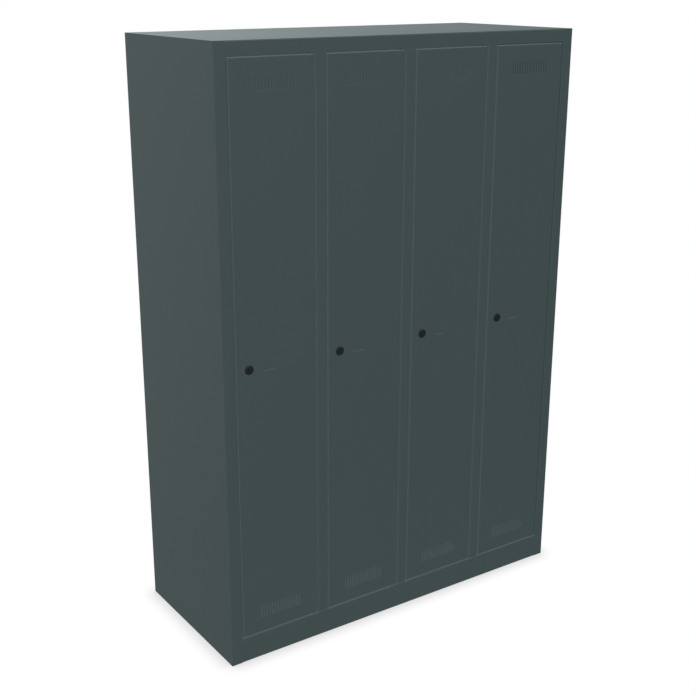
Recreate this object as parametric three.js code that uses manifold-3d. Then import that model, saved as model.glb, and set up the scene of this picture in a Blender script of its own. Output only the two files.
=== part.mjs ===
// A four-bay steel clothes locker: a folded sheet carcass, four inset doors that turn on pivot pins,
// a cam lock in each door, and a hat shelf, coat rail and sliding hook in each bay.
//
// Millimetres, +Z up. The origin is on the floor, at the middle of the locker's footprint.
// The doors face -Y, and each one is hinged along its right-hand edge.

import * as THREE from "three";
import { mergeVertices } from "three/addons/utils/BufferGeometryUtils.js";
import Module from "manifold-3d";

const wasm = await Module();
wasm.setup();

// ---------------------------------------------------------------- driving dimensions

// The locker
const WIDTH = 1180;
const HEIGHT = 1700;
const DEPTH = 500; // from the front face of the frame to the back
const BAYS = 4;
const SHEET = 0.8; // carcass sheet
const BEND = 2; // outside radius of a bend
const SEAM = 0.3; // paint and play between sheets that lie on each other

// The front frame
const HEADER_FACE = 36;
const PLINTH_FACE = 76;
const POST_FACE = 33;
const SIDE_FACE = 34.5;
const STOP_DEPTH = 22; // front face to the lip that the door closes against
const STOP_LIP = 8;
const RAIL_RETURN = 24; // how far the header and the plinth turn back
const RAIL_LIP = 8;
const RAIL_FLANGE = 20;
const SIDE_FLANGE = 18; // rear edge of a side panel
const ROOF_FLANGE = 16;
const FOOT_FLANGE = 20;
const FLOOR_FLANGE = 20;
const WEB_FLANGE = 15; // rear edge of a partition
const WEB_TAB = 12; // front edge of a partition, inside its post

// The doors
const DOOR_SHEET = 1;
const DOOR_GAP = 3;
const DOOR_RETURN = 18; // depth of the door's folded edge
const DOOR_LIP = 12;
const VENT_SLOTS = 15;
const VENT_PITCH = 9;
const VENT_WIDTH = 3;
const VENT_HEIGHT = 36;
const VENT_INSET = 64; // door edge to the middle of a row of slots
const STIFFENER_FROM_LEFT = 165;
const STIFFENER_CROWN = 28;
const STIFFENER_WING = 16;
const STIFFENER_DEPTH = 14;
const STIFFENER_END = 105; // door edge to the end of the stiffener

// The card holder in a door
const CARD_WIDTH = 40;
const CARD_HEIGHT = 23;
const CARD_FROM_LEFT = 101; // door edge to the middle of the holder
const CARD_POCKET = 2;
const CARD_RIM = 6;

// The pivot pins
const PIN_RADIUS = 3;
const PIN_PLAY = 0.6;
const PIN_INSET = 9; // in from the door's hinge edge
const PIN_DEPTH = 7; // back from the front face
const PIN_REACH = 9; // into the header or the plinth
const COLLAR_RADIUS = 5.5;
const COLLAR_HEIGHT = 5;

// The cam lock
const LOCK_HEIGHT = 865;
const LOCK_FROM_LEFT = 39.5;
const LOCK_PROUD = 3;
const BEZEL_RADIUS = 12.8;
const BARREL_RADIUS = 9.7;
const BARREL_LENGTH = 20;
const PLUG_RADIUS = 7;
const PLUG_RECESS = 0.6;
const TENON_RADIUS = 4;
const KEYWAY_WIDTH = 1.6;
const KEYWAY_HEIGHT = 8;
const KEYWAY_DEPTH = 6;
const CAM_THICKNESS = 2.4;
const CAM_GAP = 0.8; // behind the door stop
const CAM_HUB = 9;
const CAM_TIP = 6.5;
const CAM_LENGTH = 37; // lock centre to the centre of the rounded tip

// The fittings in a bay
const SHELF_HEIGHT = 1400;
const SHELF_SETBACK = 45;
const SHELF_EDGE = 20;
const SHELF_HEM = 12;
const RAIL_DROP = 62; // shelf to the middle of the coat rail
const RAIL_RADIUS = 8;
const RAIL_WALL = 1.5;
const CUP_RADIUS = 14;
const CUP_LENGTH = 5;
const HOOK_WIDTH = 7;
const HOOK_EYE_PLAY = 0.6;
const HOOK_EYE_WALL = 3.6;
const HOOK_STEM = 6;
const HOOK_DROP = 42; // rail to the middle of the hook's bowl
const HOOK_BOWL = 13; // radius of the bowl at the middle of the stem

// ---------------------------------------------------------------- sizes worked out from them

const FRONT = LOCK_PROUD - (DEPTH + LOCK_PROUD) / 2; // the bezels stand proud of the front
const BACK = FRONT + DEPTH;
const OPENING_WIDTH = (WIDTH - 2 * SIDE_FACE - (BAYS - 1) * POST_FACE) / BAYS;
const PITCH = OPENING_WIDTH + POST_FACE;
const OPENING_TOP = HEIGHT - HEADER_FACE;
const ROOF_UNDER = HEIGHT - SHEET - SEAM; // top of the flanges that carry the roof
const BACK_FACE = BACK - SHEET - SEAM; // rear face of the back panel
const BACK_INSIDE = BACK_FACE - SHEET;
const FLOOR_FRONT = Math.max(RAIL_RETURN, STOP_DEPTH) + SHEET + SEAM; // behind rail and stops
const DOOR_WIDTH = OPENING_WIDTH - 2 * DOOR_GAP;
const DOOR_BOTTOM = PLINTH_FACE + DOOR_GAP;
const DOOR_TOP = OPENING_TOP - DOOR_GAP;
const PIN_X = DOOR_WIDTH / 2 - PIN_INSET;
const LOCK_X = LOCK_FROM_LEFT - DOOR_WIDTH / 2;
const CARD_X = CARD_FROM_LEFT - DOOR_WIDTH / 2;
const STIFFENER_X = STIFFENER_FROM_LEFT - DOOR_WIDTH / 2;
const CAM_FRONT = STOP_DEPTH + SHEET + CAM_GAP;
const RAIL_HEIGHT = SHELF_HEIGHT - RAIL_DROP;

const bayCentre = (bay) => (bay - (BAYS - 1) / 2) * PITCH;
const postCentre = (post) => bayCentre(post) + PITCH / 2;
const fromFront = (depth) => FRONT + depth;

// ---------------------------------------------------------------- materials

const finishes = {
  paint: { color: 0x424d4d, roughness: 0.55, metalness: 0 },
  doorPaint: { color: 0x414c4c, roughness: 0.52, metalness: 0 },
  black: { color: 0x15191a, roughness: 0.4, metalness: 0.1 },
  zinc: { color: 0xa9adb0, roughness: 0.35, metalness: 0.9 },
  steel: { color: 0x8e9396, roughness: 0.3, metalness: 1 },
};

// ---------------------------------------------------------------- shaping helpers

const BEND_STEPS = 3;
const ROUND_STEPS = 16;
const HOLE_REACH = 4; // how far a cutter stands out of the sheet it cuts

/** Outline of a bent sheet. `line` traces one face of it, and the sheet lies on the line's left. */
function foldedOutline(line, sheet, bend = BEND) {
  const points = line.map(([u, v]) => new THREE.Vector2(u, v));
  const face = [];
  const back = [];
  const leftOf = (from, to) => {
    const along = to.clone().sub(from).normalize();
    return new THREE.Vector2(-along.y, along.x);
  };
  points.forEach((corner, i) => {
    const before = points[i - 1];
    const after = points[i + 1];
    if (!before || !after) {
      const left = before ? leftOf(before, corner) : leftOf(corner, after);
      face.push(corner);
      back.push(corner.clone().addScaledVector(left, sheet));
      return;
    }
    const left0 = leftOf(before, corner);
    const left1 = leftOf(corner, after);
    const side = Math.sign(left0.cross(left1)); // 1 where the line turns left
    const faceRadius = side > 0 ? bend : bend - sheet;
    const backRadius = side > 0 ? bend - sheet : bend;
    const toCentre = (side * faceRadius) / (1 + left0.dot(left1));
    const centre = corner.clone().addScaledVector(left0.clone().add(left1), toCentre);
    const sweep = side * Math.acos(THREE.MathUtils.clamp(left0.dot(left1), -1, 1));
    for (let step = 0; step <= BEND_STEPS; step += 1) {
      const normal = left0.clone().rotateAround(new THREE.Vector2(), (sweep * step) / BEND_STEPS);
      face.push(centre.clone().addScaledVector(normal, -side * faceRadius));
      back.push(centre.clone().addScaledVector(normal, -side * backRadius));
    }
  });
  return new THREE.Shape([...face, ...back.reverse()]);
}

/** A shape drawn in (x, y), (y, z) or (x, z), extruded between two places along the other axis. */
function prism(shape, axis, from, to) {
  const geometry = new THREE.ExtrudeGeometry(shape, {
    depth: to - from,
    bevelEnabled: false,
    curveSegments: ROUND_STEPS / 2,
  });
  if (axis === "z") {
    return geometry.translate(0, 0, from);
  }
  const [x, y, z] = [new THREE.Vector3(1, 0, 0), new THREE.Vector3(0, 1, 0), new THREE.Vector3(0, 0, 1)];
  if (axis === "x") {
    return geometry.applyMatrix4(new THREE.Matrix4().makeBasis(y, z, x)).translate(from, 0, 0);
  }
  return geometry.applyMatrix4(new THREE.Matrix4().makeBasis(x, z, y.negate())).translate(0, to, 0);
}

/** A box between two corners. */
function block([x0, y0, z0], [x1, y1, z1]) {
  const geometry = new THREE.BoxGeometry(x1 - x0, y1 - y0, z1 - z0);
  return geometry.translate((x0 + x1) / 2, (y0 + y1) / 2, (z0 + z1) / 2);
}

/** A turned piece from [radius, place] pairs along an axis; a profile off the axis closes on itself. */
function turned(profile, axis) {
  const points = profile.map(([radius, place]) => new THREE.Vector2(radius, place));
  if (profile[0][0] > 0) {
    points.push(points[0].clone());
  }
  const geometry = new THREE.LatheGeometry(points, ROUND_STEPS);
  if (axis === "x") {
    return geometry.rotateZ(-Math.PI / 2);
  }
  if (axis === "z") {
    return geometry.rotateX(Math.PI / 2);
  }
  return geometry;
}

/** A round bar along z or y that stands for a drilled hole. */
function drill(radius, axis, [x, y, z], length) {
  const geometry = new THREE.CylinderGeometry(radius, radius, length, ROUND_STEPS);
  if (axis === "z") {
    geometry.rotateX(Math.PI / 2);
  }
  return geometry.translate(x, y, z);
}

function toSolid(geometry) {
  const bare = geometry.clone();
  bare.deleteAttribute("normal");
  bare.deleteAttribute("uv");
  const merged = mergeVertices(bare, 1e-4);
  return new wasm.Manifold(
    new wasm.Mesh({
      numProp: 3,
      vertProperties: merged.attributes.position.array,
      triVerts: new Uint32Array(merged.index.array),
    }),
  );
}

/** Joins `base` with each geometry in `added`, then cuts each one in `cut` out of it. */
function shaped(base, added, cut = []) {
  let solid = toSolid(base);
  for (const geometry of added) {
    solid = solid.add(toSolid(geometry));
  }
  for (const geometry of cut) {
    solid = solid.subtract(toSolid(geometry));
  }
  const mesh = solid.getMesh();
  const geometry = new THREE.BufferGeometry();
  geometry.setAttribute("position", new THREE.BufferAttribute(mesh.vertProperties, 3));
  geometry.setIndex(new THREE.BufferAttribute(mesh.triVerts, 1));
  const facets = geometry.toNonIndexed();
  facets.computeVertexNormals();
  return facets;
}

function piece(name, geometry, finish) {
  const mesh = new THREE.Mesh(geometry, new THREE.MeshStandardMaterial(finishes[finish]));
  mesh.name = name;
  return mesh;
}

// ---------------------------------------------------------------- carcass

/**
 * The right-hand side panel: stop lip, front stile, side, and flanges at the back, top and foot.
 * The lip is notched away above and below the doors, where the rails meet the stile.
 */
function sidePanel() {
  const outside = WIDTH / 2;
  const stile = outside - SIDE_FACE;
  const section = foldedOutline(
    [
      [stile - STOP_LIP, fromFront(STOP_DEPTH)],
      [stile, fromFront(STOP_DEPTH)],
      [stile, FRONT],
      [outside, FRONT],
      [outside, BACK],
      [outside - SIDE_FLANGE, BACK],
    ],
    SHEET,
  );
  const flange = (width, bottom) =>
    block(
      [outside - width, fromFront(BEND), bottom],
      [outside - SHEET / 2, BACK - BEND, bottom + SHEET],
    );
  const notch = (bottom, top) =>
    block(
      [stile - STOP_LIP - HOLE_REACH, FRONT - HOLE_REACH, bottom],
      [stile, fromFront(STOP_DEPTH) + HOLE_REACH, top],
    );
  return shaped(
    prism(section, "z", 0, ROOF_UNDER),
    [flange(ROOF_FLANGE, ROOF_UNDER - SHEET), flange(FOOT_FLANGE, 0)],
    [
      notch(-HOLE_REACH, PLINTH_FACE + SEAM),
      notch(OPENING_TOP - SEAM, HEIGHT + HOLE_REACH),
    ],
  );
}

function backPanel() {
  const edge = WIDTH / 2 - BEND - SEAM;
  return block([-edge, BACK_INSIDE, SHEET + SEAM], [edge, BACK_FACE, ROOF_UNDER - SHEET - SEAM]);
}

function topPanel() {
  return block([-WIDTH / 2, FRONT, HEIGHT - SHEET], [WIDTH / 2, BACK, HEIGHT]);
}

/**
 * The floor of the bays, an upturned tray flush with the top of the plinth. An ear at each front
 * corner reaches into the side panel's stile and closes it.
 */
function floorPanel() {
  const front = fromFront(FLOOR_FRONT);
  const rear = BACK_INSIDE - SEAM;
  const edge = WIDTH / 2 - SHEET - SEAM;
  const foot = PLINTH_FACE - FLOOR_FLANGE;
  const section = foldedOutline(
    [
      [rear, foot],
      [rear, PLINTH_FACE],
      [front, PLINTH_FACE],
      [front, foot],
    ],
    SHEET,
  );
  const sideFlange = (x) =>
    block([x, front + BEND, foot], [x + SHEET, rear - BEND, PLINTH_FACE - SHEET / 2]);
  const earWidth = SIDE_FACE - 2 * (SHEET + SEAM);
  const ear = (x) =>
    block(
      [x, fromFront(BEND + SEAM), PLINTH_FACE - SHEET],
      [x + earWidth, front + BEND, PLINTH_FACE],
    );
  return shaped(prism(section, "x", -edge, edge), [
    sideFlange(-edge),
    sideFlange(edge - SHEET),
    ear(-edge),
    ear(edge - earWidth),
  ]);
}

const pivotHoles = (z) =>
  Array.from({ length: BAYS }, (_, bay) =>
    drill(
      PIN_RADIUS + PIN_PLAY,
      "z",
      [bayCentre(bay) + PIN_X, fromFront(PIN_DEPTH), z],
      2 * HOLE_REACH,
    ),
  );

/** The rail over the doors, with the holes that the upper pivot pins turn in. */
function headerRail() {
  const section = foldedOutline(
    [
      [fromFront(RAIL_FLANGE), ROOF_UNDER],
      [FRONT, ROOF_UNDER],
      [FRONT, OPENING_TOP],
      [fromFront(RAIL_RETURN), OPENING_TOP],
      [fromFront(RAIL_RETURN), OPENING_TOP + RAIL_LIP],
    ],
    SHEET,
  );
  const end = WIDTH / 2 - SIDE_FACE - SEAM;
  return shaped(prism(section, "x", -end, end), [], pivotHoles(OPENING_TOP));
}

/** The rail under the doors, down to the floor, with the holes for the lower pivot pins. */
function plinthRail() {
  const section = foldedOutline(
    [
      [fromFront(RAIL_RETURN), PLINTH_FACE - RAIL_LIP],
      [fromFront(RAIL_RETURN), PLINTH_FACE],
      [FRONT, PLINTH_FACE],
      [FRONT, 0],
      [fromFront(RAIL_FLANGE), 0],
    ],
    SHEET,
  );
  const end = WIDTH / 2 - SIDE_FACE - SEAM;
  return shaped(prism(section, "x", -end, end), [], pivotHoles(PLINTH_FACE));
}

/** The channel that carries the back edge of the floor panel. */
function rearBaseRail() {
  const web = BACK_INSIDE - 2 * SEAM - SHEET;
  const top = PLINTH_FACE - SHEET - SEAM;
  const section = foldedOutline(
    [
      [web - RAIL_FLANGE, 0],
      [web, 0],
      [web, top],
      [web - RAIL_FLANGE, top],
    ],
    SHEET,
  );
  const end = WIDTH / 2 - FOOT_FLANGE - SEAM;
  return prism(section, "x", -end, end);
}

/** The hat section between two doors, whose wings are the door stops. It is drawn about x = 0. */
function post() {
  const half = POST_FACE / 2;
  const section = foldedOutline(
    [
      [-half - STOP_LIP, fromFront(STOP_DEPTH)],
      [-half, fromFront(STOP_DEPTH)],
      [-half, FRONT],
      [half, FRONT],
      [half, fromFront(STOP_DEPTH)],
      [half + STOP_LIP, fromFront(STOP_DEPTH)],
    ],
    SHEET,
  );
  return prism(section, "z", PLINTH_FACE + SEAM, OPENING_TOP - SEAM);
}

/** The wall between two bays, tabbed into its post, and passing behind the header up to the roof. */
function partition() {
  const face = SHEET / 2;
  const rear = BACK_INSIDE - SEAM;
  const tabRear = fromFront(2 * SHEET + SEAM);
  const wall = [
    [face, rear],
    [-WEB_FLANGE, rear],
  ];
  const tabbed = foldedOutline([[WEB_TAB, tabRear], [face, tabRear], ...wall], SHEET);
  const behindHeader = foldedOutline([[face, fromFront(RAIL_RETURN + SHEET + SEAM)], ...wall], SHEET);
  const bottom = PLINTH_FACE + SEAM;
  return shaped(prism(tabbed, "z", bottom, OPENING_TOP - SEAM), [
    prism(behindHeader, "z", bottom, ROOF_UNDER),
  ]);
}

// ---------------------------------------------------------------- door, drawn about x = 0

/** One row of upright ventilation slots, as cutters. */
function ventSlots(middle) {
  const half = VENT_WIDTH / 2;
  const straight = VENT_HEIGHT / 2 - half;
  return Array.from({ length: VENT_SLOTS }, (_, slot) => {
    const x = (slot - (VENT_SLOTS - 1) / 2) * VENT_PITCH;
    const outline = [];
    for (const end of [1, -1]) {
      for (const turn of [-1.5, -0.5, 0.5, 1.5]) {
        const angle = (end * Math.PI) / 2 + (turn * Math.PI) / 3;
        const out = new THREE.Vector2(half, 0).rotateAround(new THREE.Vector2(), angle);
        outline.push(out.add(new THREE.Vector2(x, middle + end * straight)));
      }
    }
    const shape = new THREE.Shape(outline);
    return prism(shape, "y", fromFront(-HOLE_REACH), fromFront(HOLE_REACH));
  });
}

/** The door: a pan with folded edges, pierced for vents, lock, card holder and pivot pins. */
function door() {
  const half = DOOR_WIDTH / 2;
  const rear = fromFront(DOOR_RETURN);
  const section = foldedOutline(
    [
      [-half + DOOR_LIP, rear],
      [-half, rear],
      [-half, FRONT],
      [half, FRONT],
      [half, rear],
      [half - DOOR_LIP, rear],
    ],
    DOOR_SHEET,
  );
  const endFlange = (z) =>
    block(
      [-half + BEND, fromFront(DOOR_SHEET / 2), z],
      [half - BEND, rear - DOOR_SHEET / 2, z + DOOR_SHEET],
    );
  const card = block(
    [CARD_X - CARD_WIDTH / 2, fromFront(-HOLE_REACH), LOCK_HEIGHT - CARD_HEIGHT / 2],
    [CARD_X + CARD_WIDTH / 2, fromFront(HOLE_REACH), LOCK_HEIGHT + CARD_HEIGHT / 2],
  );
  const pinHole = (z) =>
    drill(PIN_RADIUS + SEAM, "z", [PIN_X, fromFront(PIN_DEPTH), z], 2 * HOLE_REACH);
  return shaped(
    prism(section, "z", DOOR_BOTTOM, DOOR_TOP),
    [endFlange(DOOR_BOTTOM), endFlange(DOOR_TOP - DOOR_SHEET)],
    [
      ...ventSlots(DOOR_TOP - VENT_INSET),
      ...ventSlots(DOOR_BOTTOM + VENT_INSET),
      drill(BARREL_RADIUS + SEAM, "y", [LOCK_X, FRONT, LOCK_HEIGHT], 2 * HOLE_REACH),
      card,
      pinHole(DOOR_BOTTOM),
      pinHole(DOOR_TOP),
    ],
  );
}

/** The hat section welded up the inside of the door. */
function doorStiffener() {
  const crown = STIFFENER_CROWN / 2;
  const skin = fromFront(DOOR_SHEET + SEAM);
  const ridge = skin + STIFFENER_DEPTH - SHEET;
  const section = foldedOutline(
    [
      [-crown - STIFFENER_WING, skin],
      [-crown, skin],
      [-crown, ridge],
      [crown, ridge],
      [crown, skin],
      [crown + STIFFENER_WING, skin],
    ],
    SHEET,
  );
  return prism(section, "z", DOOR_BOTTOM + STIFFENER_END, DOOR_TOP - STIFFENER_END).translate(
    STIFFENER_X,
    0,
    0,
  );
}

/** The pocket for a name card: a plate behind the skin whose rim stands in the door's cut-out. */
function labelHolder() {
  const box = (width, height, front, rear) =>
    block(
      [CARD_X - width / 2, fromFront(front), LOCK_HEIGHT - height / 2],
      [CARD_X + width / 2, fromFront(rear), LOCK_HEIGHT + height / 2],
    );
  const rimWidth = CARD_WIDTH - 2 * SEAM;
  const rimHeight = CARD_HEIGHT - 2 * SEAM;
  const plateFront = DOOR_SHEET + SEAM;
  return shaped(
    box(CARD_WIDTH + 2 * CARD_RIM, CARD_HEIGHT + 2 * CARD_RIM, plateFront, plateFront + SHEET),
    [box(rimWidth, rimHeight, 0, CARD_POCKET + SHEET)],
    [box(rimWidth - 2 * SHEET, rimHeight - 2 * SHEET, -HOLE_REACH, CARD_POCKET)],
  );
}

/** A pivot pin seen from its door: a collar inside the flange, and a shank out into the rail. */
function upperPivotPin() {
  const flange = DOOR_TOP - DOOR_SHEET - SEAM;
  return turned(
    [
      [0, flange - COLLAR_HEIGHT],
      [COLLAR_RADIUS, flange - COLLAR_HEIGHT],
      [COLLAR_RADIUS, flange],
      [PIN_RADIUS, flange],
      [PIN_RADIUS, OPENING_TOP + PIN_REACH],
      [0, OPENING_TOP + PIN_REACH],
    ],
    "z",
  ).translate(PIN_X, fromFront(PIN_DEPTH), 0);
}

/** The lower pin also has a shoulder under the door, which carries its weight on the plinth. */
function lowerPivotPin() {
  const flange = DOOR_BOTTOM + DOOR_SHEET + SEAM;
  return turned(
    [
      [0, PLINTH_FACE - PIN_REACH],
      [PIN_RADIUS, PLINTH_FACE - PIN_REACH],
      [PIN_RADIUS, PLINTH_FACE + SEAM],
      [COLLAR_RADIUS, PLINTH_FACE + SEAM],
      [COLLAR_RADIUS, DOOR_BOTTOM - SEAM],
      [PIN_RADIUS, DOOR_BOTTOM - SEAM],
      [PIN_RADIUS, flange],
      [COLLAR_RADIUS, flange],
      [COLLAR_RADIUS, flange + COLLAR_HEIGHT],
      [0, flange + COLLAR_HEIGHT],
    ],
    "z",
  ).translate(PIN_X, fromFront(PIN_DEPTH), 0);
}

// ---------------------------------------------------------------- cam lock, in the door

/** The fixed part of the lock: a round bezel in front of the door, and the barrel behind it. */
function lockHousing() {
  const bore = PLUG_RADIUS + SEAM;
  return turned(
    [
      [bore, -LOCK_PROUD],
      [BEZEL_RADIUS - 1, -LOCK_PROUD],
      [BEZEL_RADIUS, 1 - LOCK_PROUD],
      [BEZEL_RADIUS, -SEAM],
      [BARREL_RADIUS, -SEAM],
      [BARREL_RADIUS, BARREL_LENGTH],
      [bore, BARREL_LENGTH],
    ],
    "y",
  ).translate(LOCK_X, FRONT, LOCK_HEIGHT);
}

/** The plug that the key turns, with its keyway, shoulder and the tenon that holds the cam. */
function lockCylinder() {
  const face = PLUG_RECESS - LOCK_PROUD;
  const shoulder = CAM_FRONT - SEAM;
  const tenonEnd = CAM_FRONT + CAM_THICKNESS + 2;
  const plug = turned(
    [
      [0, face],
      [PLUG_RADIUS, face],
      [PLUG_RADIUS, shoulder],
      [TENON_RADIUS, shoulder],
      [TENON_RADIUS, tenonEnd],
      [0, tenonEnd],
    ],
    "y",
  );
  const keyway = block(
    [-KEYWAY_WIDTH / 2, face - HOLE_REACH, -KEYWAY_HEIGHT / 2],
    [KEYWAY_WIDTH / 2, face + KEYWAY_DEPTH, KEYWAY_HEIGHT / 2],
  );
  return shaped(plug, [], [keyway]).translate(LOCK_X, FRONT, LOCK_HEIGHT);
}

/** The cam, drawn upright, which is its unlocked place. */
function lockCam() {
  const outline = new THREE.Shape();
  const lean = Math.asin((CAM_HUB - CAM_TIP) / CAM_LENGTH);
  outline.absarc(0, 0, CAM_HUB, Math.PI - lean, lean, false);
  outline.absarc(0, CAM_LENGTH, CAM_TIP, lean, Math.PI - lean, false);
  outline.closePath();
  const hole = new THREE.Path();
  hole.absarc(0, 0, TENON_RADIUS + SEAM, 0, 2 * Math.PI, true);
  outline.holes.push(hole);
  const plate = prism(outline, "y", fromFront(CAM_FRONT), fromFront(CAM_FRONT + CAM_THICKNESS));
  return plate.translate(LOCK_X, 0, LOCK_HEIGHT);
}

// ---------------------------------------------------------------- fittings in a bay

/** The faces of the two walls of a bay, left and right. */
function bayWalls(bay) {
  const side = WIDTH / 2 - SHEET;
  const left = bay === 0 ? -side : postCentre(bay - 1) + SHEET / 2;
  const right = bay === BAYS - 1 ? side : postCentre(bay) - SHEET / 2;
  return [left, right];
}

function hatShelf(bay) {
  const [left, right] = bayWalls(bay);
  const front = fromFront(SHELF_SETBACK);
  const rear = BACK_INSIDE - 2 * SEAM - BEND;
  const edge = SHELF_HEIGHT - SHELF_EDGE;
  const section = foldedOutline(
    [
      [rear, edge],
      [rear, SHELF_HEIGHT],
      [front, SHELF_HEIGHT],
      [front, edge],
      [front + SHELF_HEM, edge],
    ],
    SHEET,
  );
  return prism(section, "x", left + SEAM, right - SEAM);
}

/** The tube under the shelf, with the cup at each end that is fixed to the wall. */
function coatRail(bay) {
  const [left, right] = bayWalls(bay);
  const [start, end] = [left + SEAM, right - SEAM];
  const bore = RAIL_RADIUS - RAIL_WALL;
  return turned(
    [
      [bore, start],
      [CUP_RADIUS, start],
      [CUP_RADIUS, start + CUP_LENGTH],
      [RAIL_RADIUS, start + CUP_LENGTH],
      [RAIL_RADIUS, end - CUP_LENGTH],
      [CUP_RADIUS, end - CUP_LENGTH],
      [CUP_RADIUS, end],
      [bore, end],
    ],
    "x",
  ).translate(0, (FRONT + BACK) / 2, RAIL_HEIGHT);
}

/** A flat hook whose eye runs on the coat rail, and whose bowl opens to the front. */
function coatHook(bay) {
  const eye = RAIL_RADIUS + HOOK_EYE_PLAY;
  const outer = eye + HOOK_EYE_WALL;
  const half = HOOK_STEM / 2;
  const lean = Math.asin(half / outer);
  const bowlAt = new THREE.Vector2(-HOOK_BOWL, -HOOK_DROP);
  const outline = new THREE.Shape();
  outline.absarc(0, 0, outer, lean - Math.PI / 2, -lean - Math.PI / 2, false);
  outline.absarc(bowlAt.x, bowlAt.y, HOOK_BOWL - half, 0, -Math.PI, true);
  outline.absarc(bowlAt.x - HOOK_BOWL, bowlAt.y + HOOK_STEM, half, 0, Math.PI, false);
  outline.absarc(bowlAt.x, bowlAt.y, HOOK_BOWL + half, -Math.PI, 0, false);
  outline.closePath();
  const hole = new THREE.Path();
  hole.absarc(0, 0, eye, 0, 2 * Math.PI, true);
  outline.holes.push(hole);
  const [left, right] = bayWalls(bay);
  const middle = (left + right) / 2;
  const plate = prism(outline, "x", middle - HOOK_WIDTH / 2, middle + HOOK_WIDTH / 2);
  return plate.translate(0, (FRONT + BACK) / 2, RAIL_HEIGHT);
}

// ---------------------------------------------------------------- assembly

const locker = new THREE.Group();

const rightSide = piece("right_side_panel", sidePanel(), "paint");
const leftSide = piece("left_side_panel", rightSide.geometry, "paint");
leftSide.scale.x = -1;
locker.add(
  leftSide,
  rightSide,
  piece("back_panel", backPanel(), "paint"),
  piece("top_panel", topPanel(), "paint"),
  piece("floor_panel", floorPanel(), "paint"),
  piece("header_rail", headerRail(), "paint"),
  piece("plinth_rail", plinthRail(), "paint"),
  piece("rear_base_rail", rearBaseRail(), "paint"),
);

for (let wall = 0; wall < BAYS - 1; wall += 1) {
  const divider = new THREE.Group();
  divider.position.x = postCentre(wall);
  divider.add(
    piece(`post_${wall + 1}`, post(), "paint"),
    piece(`partition_${wall + 1}`, partition(), "paint"),
  );
  locker.add(divider);
}

const doorPieces = {
  door: [door(), "doorPaint"],
  door_stiffener: [doorStiffener(), "doorPaint"],
  label_holder: [labelHolder(), "doorPaint"],
  upper_pivot_pin: [upperPivotPin(), "steel"],
  lower_pivot_pin: [lowerPivotPin(), "steel"],
  lock_housing: [lockHousing(), "black"],
  lock_cylinder: [lockCylinder(), "black"],
  lock_cam: [lockCam(), "zinc"],
};

for (let bay = 0; bay < BAYS; bay += 1) {
  const leaf = new THREE.Group();
  leaf.position.x = bayCentre(bay);
  for (const [name, [geometry, finish]] of Object.entries(doorPieces)) {
    leaf.add(piece(`${name}_${bay + 1}`, geometry, finish));
  }
  locker.add(
    leaf,
    piece(`hat_shelf_${bay + 1}`, hatShelf(bay), "paint"),
    piece(`coat_rail_${bay + 1}`, coatRail(bay), "steel"),
    piece(`coat_hook_${bay + 1}`, coatHook(bay), "black"),
  );
}

export default locker;
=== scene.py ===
"""Builds the finished surfaces of a four-bay steel clothes locker around its packed frame.

Every length is in metres. +X runs to the right of the doors, +Y to the back and +Z up. "Depth" is
measured back from the front face of the frame.
"""

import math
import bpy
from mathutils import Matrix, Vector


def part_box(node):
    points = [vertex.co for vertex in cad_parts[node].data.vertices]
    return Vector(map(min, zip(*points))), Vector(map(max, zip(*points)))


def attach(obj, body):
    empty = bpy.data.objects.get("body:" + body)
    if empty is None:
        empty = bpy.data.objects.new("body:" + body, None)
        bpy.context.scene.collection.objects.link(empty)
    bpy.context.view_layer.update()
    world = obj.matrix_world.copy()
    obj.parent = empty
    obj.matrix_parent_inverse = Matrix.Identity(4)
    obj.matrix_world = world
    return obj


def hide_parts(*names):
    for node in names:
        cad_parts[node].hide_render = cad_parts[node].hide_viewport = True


bl_info = {
    "name": "Clothes Locker",
    "version": (1, 0, 0),
    "blender": (4, 5, 0),
    "location": "View3D > Sidebar > Locker",
    "description": "Folded sheet, doors, locks and fittings of a steel clothes locker",
    "category": "Add Mesh",
}

import bmesh
import bpy
from bpy.props import FloatProperty, FloatVectorProperty, IntProperty, PointerProperty
from mathutils import Matrix, Vector

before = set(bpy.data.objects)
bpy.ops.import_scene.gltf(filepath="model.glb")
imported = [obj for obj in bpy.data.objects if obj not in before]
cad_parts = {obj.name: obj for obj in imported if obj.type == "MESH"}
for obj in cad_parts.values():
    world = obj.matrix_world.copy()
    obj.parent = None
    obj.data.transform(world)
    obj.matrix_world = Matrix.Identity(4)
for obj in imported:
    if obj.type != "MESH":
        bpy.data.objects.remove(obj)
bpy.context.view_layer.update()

# ------------------------------------------------------------------ places read from the frame

BAYS = sum(name.removeprefix("door_").isdigit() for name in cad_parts)
BAY_NUMBERS = range(1, BAYS + 1)
WALL_NUMBERS = range(1, BAYS)
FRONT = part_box("door_1")[0].y
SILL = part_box("plinth_rail")[1].z
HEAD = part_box("header_rail")[0].z
CARCASS = "cabinet"


def depth(distance):
    """The Y of a place that lies this far behind the front face."""
    return FRONT + distance


def depths(node):
    """How far behind the front face a node starts and ends."""
    low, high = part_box(node)
    return low.y - FRONT, high.y - FRONT


def middle(node):
    low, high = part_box(node)
    return (low + high) / 2


# ------------------------------------------------------------------ sizes that fit each other

PIN_RADIUS = 0.003
PIN_COLLAR = 0.0055
THREAD_RADIUS = 0.0097
TENON_RADIUS = 0.004
RAIL_RADIUS = 0.008
CUT_REACH = 0.004  # how far a cutter runs past each face of a sheet
TOUCH = 0.0001  # left between pieces that touch

# ------------------------------------------------------------------ settings


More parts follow.
